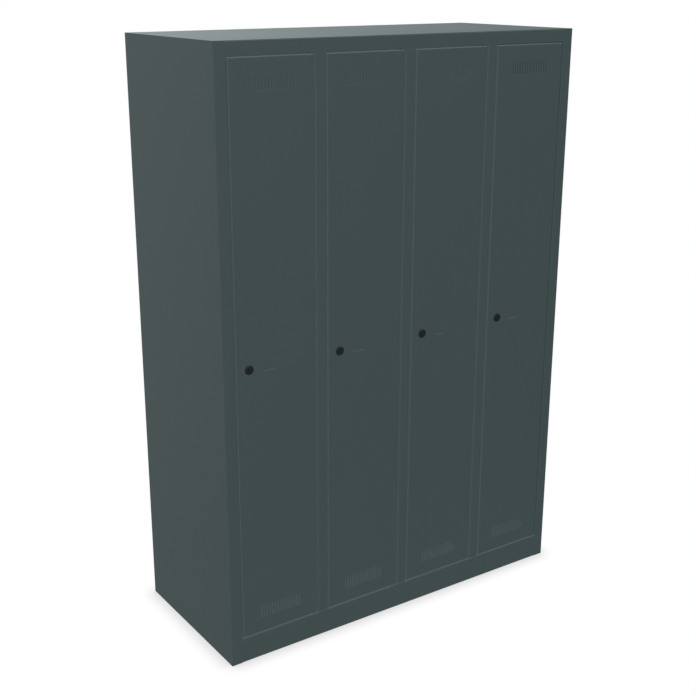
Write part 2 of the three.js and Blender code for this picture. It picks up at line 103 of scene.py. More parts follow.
class LockerSheetSettings(bpy.types.PropertyGroup):
    """Sizes of the folded sheet"""

    body_sheet: FloatProperty(
        name="Body sheet", description="Thickness of the carcass sheet", default=0.0008, unit="LENGTH"
    )
    door_sheet: FloatProperty(
        name="Door sheet", description="Thickness of the door sheet", default=0.001, unit="LENGTH"
    )
    bend: FloatProperty(
        name="Bend radius", description="Outside radius of every fold", default=0.002, unit="LENGTH"
    )
    bend_steps: IntProperty(
        name="Bend steps", description="Facets in a quarter turn of a fold", default=8, min=2
    )
    stop_lip: FloatProperty(
        name="Stop lip", description="Width of the lip that a door closes on", default=0.008, unit="LENGTH"
    )
    burr: FloatProperty(
        name="Edge softness", description="Rounding of a cut edge", default=0.0002, unit="LENGTH"
    )


class LockerDoorSettings(bpy.types.PropertyGroup):
    """Sizes of the doors and what is in them"""

    slots: IntProperty(name="Slots", description="Slots in each vent", default=15, min=1)
    slot_pitch: FloatProperty(
        name="Slot pitch", description="From slot to slot", default=0.009, unit="LENGTH"
    )
    slot_width: FloatProperty(
        name="Slot width", description="Width of a vent slot", default=0.003, unit="LENGTH"
    )
    slot_height: FloatProperty(
        name="Slot height", description="Height of a vent slot", default=0.036, unit="LENGTH"
    )
    vent_inset: FloatProperty(
        name="Vent inset", description="Door edge to the middle of a vent", default=0.064, unit="LENGTH"
    )
    lip: FloatProperty(
        name="Door lip", description="Width of the inner lip of a door", default=0.012, unit="LENGTH"
    )
    corner: FloatProperty(
        name="Door corner", description="Corner radius of a door", default=0.0015, unit="LENGTH"
    )
    card_wall: FloatProperty(
        name="Card wall", description="Wall of the card holder", default=0.0008, unit="LENGTH"
    )
    card_depth: FloatProperty(
        name="Card pocket", description="Depth of the card holder's pocket", default=0.002, unit="LENGTH"
    )
    card_rim: FloatProperty(
        name="Card rim", description="Width of the holder's plate behind the skin", default=0.006,
        unit="LENGTH",
    )
    card_corner: FloatProperty(
        name="Card corner", description="Corner radius of the card window", default=0.002, unit="LENGTH"
    )


class LockerFinishSettings(bpy.types.PropertyGroup):
    """Colours and gloss"""

    body_paint: FloatVectorProperty(
        name="Body paint", description="Powder coat of the carcass", subtype="COLOR",
        default=(0.0268, 0.0425, 0.0435), min=0, max=1,
    )
    door_paint: FloatVectorProperty(
        name="Door paint", description="Powder coat of the doors", subtype="COLOR",
        default=(0.0270, 0.0422, 0.0430), min=0, max=1,
    )
    lock_black: FloatVectorProperty(
        name="Lock black", description="Lacquer of the locks", subtype="COLOR",
        default=(0.003, 0.005, 0.006), min=0, max=1,
    )
    paint_gloss: FloatProperty(
        name="Paint roughness", description="Roughness of the powder coat", default=0.42, min=0, max=1
    )


class LockerStageSettings(bpy.types.PropertyGroup):
    """Camera, floor and light"""

    azimuth: FloatProperty(
        name="Azimuth", description="Direction of view, turned from straight on", subtype="ANGLE",
        default=math.radians(34.097),
    )
    elevation: FloatProperty(
        name="Elevation", description="How far the view looks down", subtype="ANGLE",
        default=math.radians(17.769),
    )
    eye: FloatVectorProperty(
        name="Eye", description="Where the camera stands", subtype="TRANSLATION",
        default=(-1.8972, -2.7055, 1.8486),
    )
    lens: FloatProperty(name="Lens", description="Focal length in millimetres", default=58.99)
    shift: FloatVectorProperty(
        name="Shift", description="Shift of the lens, sideways and up", size=2, default=(0.0148, -0.0114)
    )
    ambient: FloatProperty(
        name="Ambient", description="Soft light from all round, dimmer in hollows", default=0.35
    )
    fill: FloatProperty(
        name="Fill", description="Shadowless light on each face from its own side", default=0.9
    )
    inner_fill: FloatProperty(
        name="Inner fill", description="More shadowless light on gaps, ledges and the inside", default=0.7
    )


def sheet_sizes():
    return bpy.context.scene.locker_sheet


def door_sizes():
    return bpy.context.scene.locker_door


def finishes():
    return bpy.context.scene.locker_finish


def stop_depth():
    """How far back the lips are that the doors close on."""
    return depths("post_1")[1] - sheet_sizes().body_sheet


# ------------------------------------------------------------------ outlines


def arc(centre, radius, start, stop, steps):
    """Points of an arc about a centre, with its angles in degrees."""
    turns = [math.radians(start + (stop - start) * step / steps) for step in range(steps + 1)]
    return [Vector((centre[0] + radius * math.cos(t), centre[1] + radius * math.sin(t))) for t in turns]


def circle(radius, steps=32, centre=(0, 0)):
    return arc(centre, radius, 0, 360, steps)[:-1]


def rounded_rectangle(half_width, half_height, radius, steps=5):
    """Points of a rectangle about the origin, anticlockwise, with round corners."""
    u, v = half_width - radius, half_height - radius
    points = []
    for quarter, corner in enumerate(((u, v), (-u, v), (-u, -v), (u, -v))):
        points += arc(corner, radius, 90 * quarter, 90 * (quarter + 1), steps)
    return points


def slot_outline(half_width, half_height, steps=8):
    """Points of an upright slot with round ends."""
    rise = half_height - half_width
    return [*arc((0, rise), half_width, 0, 180, steps), *arc((0, -rise), half_width, 180, 360, steps)]


def filleted(points, steps=4):
    """A line of (u, v) or (u, v, radius) corners, with each radius turned into an arc."""
    corners = [Vector(p[:2]) for p in points]
    radii = [p[2] if len(p) > 2 else 0 for p in points]
    line = []
    for k, (corner, radius) in enumerate(zip(corners, radii)):
        if not radius:
            line.append(corner)
            continue
        before = (corners[k - 1] - corner).normalized()
        after = (corners[k + 1] - corner).normalized()
        half = before.angle(after) / 2
        centre = corner + (before + after).normalized() * (radius / math.sin(half))
        start = corner + before * (radius / math.tan(half)) - centre
        turn = start.angle_signed(corner + after * (radius / math.tan(half)) - centre)
        line += [centre + Matrix.Rotation(-turn * n / steps, 2) @ start for n in range(steps + 1)]
    return line


def folded(line, sheet=None):
    """Pairs of points on the two faces of a folded sheet. The sheet lies on the line's left."""
    sizes = sheet_sizes()
    sheet = sheet or sizes.body_sheet
    corners = [Vector(p) for p in line]

    def left(start, end):
        run = (end - start).normalized()
        return Vector((-run.y, run.x))

    pairs = [(corners[0], corners[0] + left(*corners[:2]) * sheet)]
    for before, corner, after in zip(corners, corners[1:], corners[2:]):
        first, last = left(before, corner), left(corner, after)
        side = math.copysign(1, first.cross(last))
        face_radius = sizes.bend if side > 0 else sizes.bend - sheet
        back_radius = sizes.bend if side < 0 else sizes.bend - sheet
        centre = corner + (first + last) * (side * face_radius / (1 + first.dot(last)))
        sweep = side * first.angle(last)
        for step in range(sizes.bend_steps + 1):
            outward = Matrix.Rotation(sweep * step / sizes.bend_steps, 2) @ first * side
            pairs.append((centre - outward * face_radius, centre - outward * back_radius))
    pairs.append((corners[-1], corners[-1] + left(*corners[-2:]) * sheet))
    return pairs


def spaced(start, end, pitch):
    """Evenly spaced places from start to end, about a pitch apart."""
    gaps = max(1, round((end - start) / pitch))
    return [start + (end - start) * k / gaps for k in range(gaps + 1)]


# ------------------------------------------------------------------ solids

SHARP = math.radians(38)
ON_AXIS = 1e-5  # radius of a ring that stands for a point on the axis
WELD = 1e-6
LEAST_CORNER = 0.0004


def along(axis, u, v, place):
    """A point (u, v) of the plane across an axis, at a place along it."""
    if axis == "x":
        return Vector((place, u, v))
    if axis == "y":
        return Vector((u, place, v))
    return Vector((u, v, place))


def lofted(loops, closed=False):
    """A mesh through loops of equal length, with its ends capped or joined to each other."""
    shape = bmesh.new()
    rings = [[shape.verts.new(point) for point in loop] for loop in loops]
    following = rings[1:] + rings[:1] if closed else rings[1:]
    for ring, after in zip(rings, following):
        for k in range(len(ring)):
            shape.faces.new((ring[k - 1], ring[k], after[k], after[k - 1]))
    if not closed:
        shape.faces.new(rings[0])
        shape.faces.new(rings[-1])
    bmesh.ops.recalc_face_normals(shape, faces=shape.faces)
    return shape


def strip(pairs, axis, start, end):
    """A folded sheet run along an axis, with quads all round and over its cut ends."""
    shape = bmesh.new()
    ends = []
    for place in (start, end):
        ends.append([[shape.verts.new(along(axis, *point, place)) for point in pair] for pair in pairs])
    near, far = ends
    for k in range(len(pairs) - 1):
        for side in (0, 1):
            shape.faces.new((near[k][side], near[k + 1][side], far[k + 1][side], far[k][side]))
        for row in ends:
            shape.faces.new((row[k][0], row[k + 1][0], row[k + 1][1], row[k][1]))
    for k in (0, -1):
        shape.faces.new((near[k][0], near[k][1], far[k][1], far[k][0]))
    bmesh.ops.recalc_face_normals(shape, faces=shape.faces)
    return shape


def plate(outline, axis, start, end):
    """A flat plate with this outline between two places along an axis."""
    return lofted([[along(axis, *point, place) for point in outline] for place in (start, end)])


def slab(low, high):
    """A flat block between two corners."""
    outline = [(low[0], low[1]), (high[0], low[1]), (high[0], high[1]), (low[0], high[1])]
    return plate(outline, "z", low[2], high[2])


def drill(axis, centre, radius, start, end, steps=32):
    """A cutter for a round hole along an axis."""
    return plate(circle(radius, steps, centre), axis, start, end)


def turned(profile, axis, at, steps=40):
    """A piece turned about an axis through a point, from (radius, place) pairs.

    A profile that keeps off the axis closes on itself, as a tube does.
    """
    loops = []
    for radius, place in profile:
        ring = circle(max(radius, ON_AXIS), steps)
        loops.append([along(axis, *point, place) + Vector(at) for point in ring])
    return lofted(loops, closed=min(radius for radius, _ in profile) > 0)


def swept(profile, half_width, half_height, corner, at):
    """A tray that faces -Y: (inset, depth) pairs carried round a rectangle with round corners."""
    loops = []
    for inset, back in profile:
        radius = max(corner - inset, LEAST_CORNER)
        ring = rounded_rectangle(half_width - inset, half_height - inset, radius)
        loops.append([Vector((at[0] + x, depth(back), at[1] + z)) for x, z in ring])
    return lofted(loops)


def joined(*shapes):
    """One mesh that holds several."""
    whole = bmesh.new()
    for shape in shapes:
        part = bpy.data.meshes.new("part")
        shape.to_mesh(part)
        shape.free()
        whole.from_mesh(part)
        bpy.data.meshes.remove(part)
    return whole


def as_object(shape, name):
    mesh = bpy.data.meshes.new(name)
    shape.to_mesh(mesh)
    shape.free()
    made = bpy.data.objects.new(name, mesh)
    bpy.context.scene.collection.objects.link(made)
    return made


def cut(shape, *cutters, operation="DIFFERENCE"):
    """The shape with the cutters taken out of it, or only what it shares with them."""
    body = as_object(shape, "body")
    tool = as_object(joined(*cutters), "cutter")
    boolean = body.modifiers.new("cut", "BOOLEAN")
    boolean.operation = operation
    boolean.solver = "EXACT"
    boolean.object = tool
    result = bmesh.new()
    evaluated = body.evaluated_get(bpy.context.evaluated_depsgraph_get())
    result.from_mesh(evaluated.to_mesh())
    evaluated.to_mesh_clear()
    for spent in (body, tool):
        mesh = spent.data
        bpy.data.objects.remove(spent)
        bpy.data.meshes.remove(mesh)
    bmesh.ops.remove_doubles(result, verts=result.verts, dist=WELD)
    return result


def make_piece(name, shape, body, material, node=None, soft=None, steps=2):
    """Turns a shape into a finished piece that rides on a body and may stand for a node.

    Its hard edges are softened where a width is given.
    """
    piece = as_object(shape, name)
    piece.data.materials.append(material)
    piece.data.shade_smooth()
    piece.data.set_sharp_from_angle(angle=SHARP)
    if soft:
        bevel = piece.modifiers.new("soft edges", "BEVEL")
        bevel.width = soft
        bevel.segments = steps
        bevel.limit_method = "ANGLE"
        bevel.angle_limit = SHARP
    flat = piece.modifiers.new("flat faces", "WEIGHTED_NORMAL")
    flat.keep_sharp = True
    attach(piece, body)
    if node:
        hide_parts(node)


def make_fold(node, section, axis, start, end, body, material):
    """A node's sheet, folded to a section and run along an axis."""
    shape = strip(folded(section), axis, start, end)
    make_piece(f"{node}_fold", shape, body, material, node, soft=sheet_sizes().burr)


# ------------------------------------------------------------------ shader effects


def noise(tree, vector, scale, detail=2.0):
    texture = tree.nodes.new("ShaderNodeTexNoise")
    texture.inputs["Detail"].default_value = detail
    if isinstance(scale, float):
        texture.inputs["Scale"].default_value = scale
    else:
        tree.links.new(scale, texture.inputs["Scale"])
    tree.links.new(vector, texture.inputs["Vector"])
    return texture.outputs["Fac"]


def calculate(tree, operation, *values):
    node = tree.nodes.new("ShaderNodeMath")
    node.operation = operation
    for socket, value in zip(node.inputs, values):
        if isinstance(value, float):
            socket.default_value = value
        else:
            tree.links.new(value, socket)
    return node.outputs["Value"]


def combine(tree, operation, vector, factor, factor_socket):
    """A vector or colour scaled or multiplied by another output."""
    node = tree.nodes.new("ShaderNodeVectorMath")
    node.operation = operation
    tree.links.new(vector, node.inputs[0])
    tree.links.new(factor, node.inputs[factor_socket])
    return node.outputs["Vector"]


def varied(tree, value, texture, amount):
    """A value that a noise texture moves up and down by half of an amount."""
    return calculate(tree, "MULTIPLY_ADD", calculate(tree, "SUBTRACT", texture, 0.5), amount, value)


def powder_coat(group, given, place):
    """Orange peel, fine speckle and a slow drift of tone, as a baked powder coat has."""
    peel = noise(group, place, given["Peel Scale"], detail=1.0)
    speckle = noise(group, place, 2600.0, detail=1.0)
    drift = noise(group, place, 2.1, detail=3.0)
    tone = varied(group, varied(group, 1.0, drift, given["Drift"]), speckle, 0.10)
    roughness = varied(group, varied(group, given["Roughness"], drift, 0.10), peel, 0.05)
    return tone, roughness, calculate(group, "MULTIPLY_ADD", speckle, 0.25, peel)


def drawn_metal(group, given, place):
    """Fine drawn or brushed lines along one axis, with faint stains."""
    lines = noise(group, combine(group, "MULTIPLY", place, given["Line Scale"], 1), 1.0)
    stain = noise(group, place, 38.0, detail=3.0)
    tone = varied(group, varied(group, 1.0, lines, 0.22), stain, 0.16)
    roughness = varied(group, varied(group, given["Roughness"], lines, 0.18), stain, 0.12)
    return tone, roughness, lines


def moulded_grain(group, given, place):
    """The fine spark-eroded grain of moulded plastic and rubber."""
    grain = noise(group, place, given["Grain Scale"])
    tone = varied(group, 1.0, noise(group, place, 60.0), 0.25)
    return tone, varied(group, given["Roughness"], grain, 0.15), grain


# how each effect is made, and its own input with the kind and default of that input
EFFECTS = {
    "Powder coat": (powder_coat, (("Peel Scale", "Float", 650.0), ("Drift", "Float", 0.06))),
    "Drawn metal": (drawn_metal, (("Line Scale", "Vector", (20.0, 900.0, 900.0)),)),
    "Moulded grain": (moulded_grain, (("Grain Scale", "Float", 1800.0),)),
}


def effect_group(name):
    """The shared group of an effect: a plain finish goes in, and one that varies comes out."""
    if name in bpy.data.node_groups:
        return bpy.data.node_groups[name]
    effect, own_inputs = EFFECTS[name]
    group = bpy.data.node_groups.new(name, "ShaderNodeTree")
    plain_finish = (("Color", "Color", (0.05, 0.05, 0.05, 1)), ("Roughness", "Float", 0.4))
    for label, kind, default in (*plain_finish, *own_inputs):
        socket = group.interface.new_socket(label, in_out="INPUT", socket_type=f"NodeSocket{kind}")
        socket.default_value = default
    for label, kind in (("Color", "Color"), ("Roughness", "Float"), ("Height", "Float")):
        group.interface.new_socket(label, in_out="OUTPUT", socket_type=f"NodeSocket{kind}")
    given = group.nodes.new("NodeGroupInput").outputs
    out = group.nodes.new("NodeGroupOutput").inputs
    place = group.nodes.new("ShaderNodeTexCoord").outputs["Object"]
    tone, roughness, height = effect(group, given, place)
    group.links.new(combine(group, "SCALE", given["Color"], tone, "Scale"), out["Color"])
    group.links.new(roughness, out["Roughness"])
    group.links.new(height, out["Height"])
    return group


# ------------------------------------------------------------------ materials


def surface(name, slot, effect, values, metallic=0.0, specular=0.5, bump=0.1):
    """A material whose colour, roughness and relief come from a shared effect."""
    if name in bpy.data.materials:
        return bpy.data.materials[name]
    material = bpy.data.materials.new(name)
    material.use_nodes = True
    material["slot"] = slot
    tree = material.node_tree
    shader = tree.nodes["Principled BSDF"]
    shader.inputs["Metallic"].default_value = metallic
    shader.inputs["Specular IOR Level"].default_value = specular
    finish = tree.nodes.new("ShaderNodeGroup")
    finish.node_tree = effect_group(effect)
    for label, value in values.items():
        finish.inputs[label].default_value = value
    relief = tree.nodes.new("ShaderNodeBump")
    relief.inputs["Strength"].default_value = bump
    relief.inputs["Distance"].default_value = 0.0002
    tree.links.new(finish.outputs["Color"], shader.inputs["Base Color"])
    tree.links.new(finish.outputs["Roughness"], shader.inputs["Roughness"])
    tree.links.new(finish.outputs["Height"], relief.inputs["Height"])
    tree.links.new(relief.outputs["Normal"], shader.inputs["Normal"])
    return material


def body_paint():
    look = finishes()
    values = {"Color": (*look.body_paint, 1), "Roughness": look.paint_gloss}
    return surface("body paint", "body_paint", "Powder coat", values)


def door_paint():
    look = finishes()
    values = {"Color": (*look.door_paint, 1), "Roughness": look.paint_gloss}
    return surface("door paint", "door_paint", "Powder coat", values)


def lock_lacquer():
    values = {"Color": (*finishes().lock_black, 1), "Roughness": 0.32}
    return surface("lock lacquer", "lock_black", "Moulded grain", values, specular=0.3, bump=0.04)


def hook_plastic():
    values = {"Color": (0.012, 0.012, 0.013, 1), "Roughness": 0.48}
    return surface("hook plastic", "hook_black", "Moulded grain", values, bump=0.15)


def buffer_rubber():
    values = {"Color": (0.010, 0.010, 0.010, 1), "Roughness": 0.72, "Grain Scale": 900.0}
    return surface("buffer rubber", "hook_black", "Moulded grain", values, bump=0.2)


def nylon():
    values = {"Color": (0.03, 0.035, 0.035, 1), "Roughness": 0.45}
    return surface("nylon", "hook_black", "Moulded grain", values)


def drawn_steel():
    values = {"Color": (0.50, 0.52, 0.53, 1), "Roughness": 0.28}
    return surface("drawn steel", "steel", "Drawn metal", values, metallic=1.0, bump=0.05)


def pin_steel():
    values = {"Color": (0.13, 0.135, 0.14, 1), "Roughness": 0.42, "Line Scale": (300.0, 300.0, 900.0)}
    return surface("pin steel", "steel", "Drawn metal", values, metallic=1.0, bump=0.05)


def zinc_plate():
    values = {"Color": (0.62, 0.63, 0.62, 1), "Roughness": 0.34, "Line Scale": (140.0, 140.0, 140.0)}
    return surface("zinc plate", "zinc", "Drawn metal", values, metallic=1.0, bump=0.06)


# ------------------------------------------------------------------ carcass


def weld_dimple(x, y, z):
    """A cutter for the shallow dent of a spot weld in a sheet that faces +Y."""
    radius, sink, rise = 0.0035, 0.000315, 0.00035
    shoulder = 0.00007
    profile = [(0, -sink), (0.0022, -shoulder), (radius, shoulder), (radius, rise), (0, rise)]
    return turned(profile, "y", (x, y, z), steps=20)


class LOCKER_OT_sides(bpy.types.Operator):
    """Both side panels, each one folded sheet with its stile, stop lip and flanges"""

    bl_idname = "locker.sides"
    bl_label = "Side Panels"

    def execute(self, context):
        sizes = sheet_sizes()
        sheet, stop = sizes.body_sheet, depth(stop_depth())
        rear_flange, roof_flange, foot_flange = 0.018, 0.016, 0.020
        over, weld_inset, weld_pitch = 0.01, 0.06, 0.15
        low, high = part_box("right_side_panel")
        stile = low.x + sizes.stop_lip
        section = [
            (low.x, stop),
            (stile, stop),
            (stile, FRONT),
            (high.x, FRONT),
            (high.x, high.y),
            (high.x - rear_flange, high.y),
        ]
        for side, node in ((-1, "left_side_panel"), (1, "right_side_panel")):
            # the lip and its web stop short of the plinth and the header
            cutters = [
                slab((low.x - over, FRONT - over, start), (stile, stop + over, end))
                for start, end in ((low.z - over, SILL), (HEAD, high.z + over))
            ]
            for z in spaced(low.z + weld_inset, high.z - weld_inset, weld_pitch):
                cutters.append(weld_dimple(high.x - rear_flange / 2, high.y, z))
            shell = cut(strip(folded(section), "z", low.z, high.z), *cutters)
            inner, near, far = high.x - sheet / 2, depth(sizes.bend), high.y - sizes.bend
            roof = slab((high.x - roof_flange, near, high.z - sheet), (inner, far, high.z))
            foot = slab((high.x - foot_flange, near, low.z), (inner, far, low.z + sheet))
            shell = joined(shell, roof, foot)
            bmesh.ops.scale(shell, vec=(side, 1, 1), verts=shell.verts)
            bmesh.ops.recalc_face_normals(shell, faces=shell.faces)
            make_piece(f"{node}_shell", shell, CARCASS, body_paint(), node, soft=sizes.burr)
        return {"FINISHED"}


class LOCKER_OT_sheets(bpy.types.Operator):
    """The roof, back and floor sheets"""

    bl_idname = "locker.sheets"
    bl_label = "Roof, Back and Floor"

    def execute(self, context):
        for node in ("top_panel", "back_panel"):
            sheet = slab(*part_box(node))
            make_piece(f"{node}_sheet", sheet, CARCASS, body_paint(), node, soft=sheet_sizes().burr)
        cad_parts["floor_panel"].data.materials[0] = body_paint()
        return {"FINISHED"}


class LOCKER_OT_rails(bpy.types.Operator):
    """The header over the doors, the plinth under them and the rail under the floor"""

    bl_idname = "locker.rails"
    bl_label = "Header, Plinth and Base Rail"

    def execute(self, context):
        sizes = sheet_sizes()
        flange, lip, pin_play = 0.020, 0.008, 0.0006
        # the ends run on to where the stile's rounding is flush, as a dressed weld does
        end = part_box("right_side_panel")[0].x + sizes.stop_lip + sizes.bend
        top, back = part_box("header_rail")[1].z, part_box("header_rail")[1].y
        header = [(depth(flange), top), (FRONT, top), (FRONT, HEAD), (back, HEAD), (back, HEAD + lip)]
        bottom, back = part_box("plinth_rail")[0].z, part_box("plinth_rail")[1].y
        plinth = [(back, SILL - lip), (back, SILL), (FRONT, SILL), (FRONT, bottom), (depth(flange), bottom)]
        pins = [middle(f"lower_pivot_pin_{bay}") for bay in BAY_NUMBERS]
        for node, section, level in (("header_rail", header, HEAD), ("plinth_rail", plinth, SILL)):
            start, stop = level - CUT_REACH, level + CUT_REACH
            holes = [drill("z", (at.x, at.y), PIN_RADIUS + pin_play, start, stop) for at in pins]
            rail = cut(strip(folded(section), "x", -end, end), *holes)
            make_piece(f"{node}_fold", rail, CARCASS, body_paint(), node, soft=sizes.burr)
        low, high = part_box("rear_base_rail")
        section = [(low.y, low.z), (high.y, low.z), (high.y, high.z), (low.y, high.z)]
        make_fold("rear_base_rail", section, "x", low.x, high.x, CARCASS, body_paint())
        return {"FINISHED"}


class LOCKER_OT_posts(bpy.types.Operator):
    """The posts between the doors and the partitions behind them"""

    bl_idname = "locker.posts"
    bl_label = "Posts and Partitions"

    def execute(self, context):
        stop, lip = depth(stop_depth()), sheet_sizes().stop_lip
        for wall in WALL_NUMBERS:
            low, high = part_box(f"post_{wall}")
            section = [
                (low.x, stop),
                (low.x + lip, stop),
                (low.x + lip, FRONT),
                (high.x - lip, FRONT),
                (high.x - lip, stop),
                (high.x, stop),
            ]
            make_fold(f"post_{wall}", section, "z", SILL, HEAD, CARCASS, body_paint())
            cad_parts[f"partition_{wall}"].data.materials[0] = body_paint()
        return {"FINISHED"}


# ------------------------------------------------------------------ doors


def card_places(bay):
    """The middle (x, z) and half sizes of the window that the card holder sits in."""
    low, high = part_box(f"label_holder_{bay}")
    at, rim = middle(f"label_holder_{bay}"), door_sizes().card_rim
    return (at.x, at.z), (high.x - low.x) / 2 - rim, (high.z - low.z) / 2 - rim


def slot_cutter(x, z):
    """One vent slot, with a mouth that flares like a punched edge."""
    sizes = door_sizes()
    flare = 0.0004
    mouth = ((3 * flare, -2 * flare), (flare, 0), (flare / 4, flare), (0, 2 * flare), (0, CUT_REACH))
    loops = []
    for spread, back in mouth:
        outline = slot_outline(sizes.slot_width / 2 + spread, sizes.slot_height / 2 + spread)
        loops.append([Vector((x + u, depth(back), z + v)) for u, v in outline])
    return lofted(loops)


def door_cutters(bay):
    """What pierces a door: two vents, the lock hole, the card window and the two pin holes."""
    sizes = door_sizes()
    lock_play, pin_play = 0.0003, 0.0002
    low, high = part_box(f"door_{bay}")
    half_vent = (sizes.slots - 1) / 2
    cutters = []
    for z in (high.z - sizes.vent_inset, low.z + sizes.vent_inset):
        for slot in range(sizes.slots):
            cutters.append(slot_cutter((low.x + high.x) / 2 + (slot - half_vent) * sizes.slot_pitch, z))
    skin = depth(-CUT_REACH), depth(CUT_REACH)
    lock = middle(f"lock_housing_{bay}")
    cutters.append(drill("y", (lock.x, lock.z), THREAD_RADIUS + lock_play, *skin))
    at, half_width, half_height = card_places(bay)
    window = rounded_rectangle(half_width, half_height, sizes.card_corner)
    cutters.append(plate([Vector(at) + point for point in window], "y", *skin))
    for end, edge in (("upper", high.z), ("lower", low.z)):
        pin = middle(f"{end}_pivot_pin_{bay}")
        reach = edge - CUT_REACH, edge + CUT_REACH
        cutters.append(drill("z", (pin.x, pin.y), PIN_RADIUS + pin_play, *reach))
    return cutters


class LOCKER_OT_doors(bpy.types.Operator):
    """The doors, each a folded pan pierced by two vents, a lock hole and a card window"""

    bl_idname = "locker.doors"
    bl_label = "Doors"

    def execute(self, context):
        sizes, sheet = door_sizes(), sheet_sizes().door_sheet
        flat = 0.03
        for bay in BAY_NUMBERS:
            node = f"door_{bay}"
            low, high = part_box(node)
            at, rear = middle(node), high.y - FRONT
            # the outer face runs from the flat of the skin to the lip, and the inner face back again
            pairs = folded([(flat, 0), (0, 0), (0, rear), (sizes.lip, rear)], -sheet)
            profile = [face for face, _ in pairs] + [back for _, back in reversed(pairs)]
            half_width, half_height = (high.x - low.x) / 2, (high.z - low.z) / 2
            pan = swept(profile, half_width, half_height, sizes.corner, (at.x, at.z))
            make_piece(f"door_leaf_{bay}", cut(pan, *door_cutters(bay)), node, door_paint(), node)
        return {"FINISHED"}


class LOCKER_OT_stiffeners(bpy.types.Operator):
    """The hat section that stiffens each door from the inside"""

    bl_idname = "locker.stiffeners"
    bl_label = "Door Stiffeners"

    def execute(self, context):
        wing = 0.016
        for bay in BAY_NUMBERS:
            node = f"door_stiffener_{bay}"
            low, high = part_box(node)
            ridge = high.y - sheet_sizes().body_sheet
            section = [
                (low.x, low.y),
                (low.x + wing, low.y),
                (low.x + wing, ridge),
                (high.x - wing, ridge),
                (high.x - wing, low.y),
                (high.x, low.y),
            ]
            make_fold(node, section, "z", low.z, high.z, f"door_{bay}", door_paint())
        return {"FINISHED"}


class LOCKER_OT_card_holders(bpy.types.Operator):
    """The card holders, each a small tray whose rim is flush with the door"""

    bl_idname = "locker.card_holders"
    bl_label = "Card Holders"

    def execute(self, context):
        sizes = door_sizes()
        wall, pocket, rim = sizes.card_wall, sizes.card_depth, sizes.card_rim
        play, fillet = 0.0002, 0.0002
        skin = sheet_sizes().door_sheet + play
        for bay in BAY_NUMBERS:
            at, half_width, half_height = card_places(bay)
            floor = half_height - 0.0005
            profile = filleted(
                [
                    (floor, pocket),
                    (play + wall, pocket, 2 * fillet),
                    (play + wall, TOUCH, fillet),
                    (play, TOUCH, 1.5 * fillet),
                    (play, skin),
                    (-rim, skin, fillet),
                    (-rim, skin + wall, fillet),
                    (play, skin + wall),
                    (play, pocket + wall, 2.5 * fillet),
                    (floor, pocket + wall),
                ]
            )
            tray = swept(profile, half_width, half_height, sizes.card_corner, at)
            make_piece(f"card_holder_{bay}", tray, f"door_{bay}", door_paint(), f"label_holder_{bay}")
        return {"FINISHED"}


class LOCKER_OT_pivots(bpy.types.Operator):
    """The turned pins that the doors hang on, and a nylon washer under each door"""

    bl_idname = "locker.pivots"
    bl_label = "Pivot Pins"

    def execute(self, context):
        sheet, chamfer = sheet_sizes().door_sheet, 0.0006
        washer_bore, washer_edge = PIN_RADIUS + TOUCH, 0.0004
        for bay in BAY_NUMBERS:
            door_low, door_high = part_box(f"door_{bay}")
            low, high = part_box(f"upper_pivot_pin_{bay}")
            upper = (f"upper_pivot_pin_{bay}", low.z, door_high.z - sheet, high.z)
            low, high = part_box(f"lower_pivot_pin_{bay}")
            lower = (f"lower_pivot_pin_{bay}", high.z, door_low.z + sheet, low.z)
            for node, heel, shoulder, tip in (upper, lower):
                profile = [
                    (0, heel),
                    (PIN_COLLAR, heel, chamfer),
                    (PIN_COLLAR, shoulder, chamfer / 2),
                    (PIN_RADIUS, shoulder),
                    (PIN_RADIUS, tip, chamfer),
                    (0, tip),
                ]
                at = middle(node)
                pin = turned(filleted(profile), "z", (at.x, at.y, 0))
                make_piece(f"{node}_turned", pin, f"door_{bay}", pin_steel(), node)
            foot, top = SILL + 2 * TOUCH, door_low.z - TOUCH
            ring = [
                (washer_bore, foot),
                (PIN_COLLAR, foot, washer_edge),
                (PIN_COLLAR, top, washer_edge),
                (washer_bore, top),
            ]
            washer = turned(filleted(ring), "z", (at.x, at.y, 0))
            make_piece(f"pivot_washer_{bay}", washer, f"door_{bay}", nylon())
        return {"FINISHED"}


# ------------------------------------------------------------------ locks


def hexagon_head(at, flats, start, end, profile):
    """A hexagon across +Y between two depths, with its corners turned off to a profile."""
    corners = circle(flats / 2 / math.cos(math.pi / 6), 6, (at.x, at.z))
    blank = plate(corners, "y", depth(start), depth(end))
    return cut(blank, turned(profile, "y", (at.x, FRONT, at.z)), operation="INTERSECT")


def lock_nut(at):
    """The thin hexagon nut that clamps a housing to the door's skin."""
    flats, thickness, ease = 0.026, 0.005, 0.0012
    start = sheet_sizes().door_sheet + TOUCH
    end = start + thickness
    half = flats / 2
    profile = [
        (0, start - 0.001),
        (half + 0.0008, start - 0.001),
        (half + 0.0022, start + ease),
        (half + 0.0022, end - ease),
        (half + 0.0002, end + TOUCH),
        (0, end + TOUCH),
    ]
    nut = hexagon_head(at, flats, start, end, profile)
    return cut(nut, drill("y", (at.x, at.z), THREAD_RADIUS - 0.0002, depth(0), depth(2 * end)))


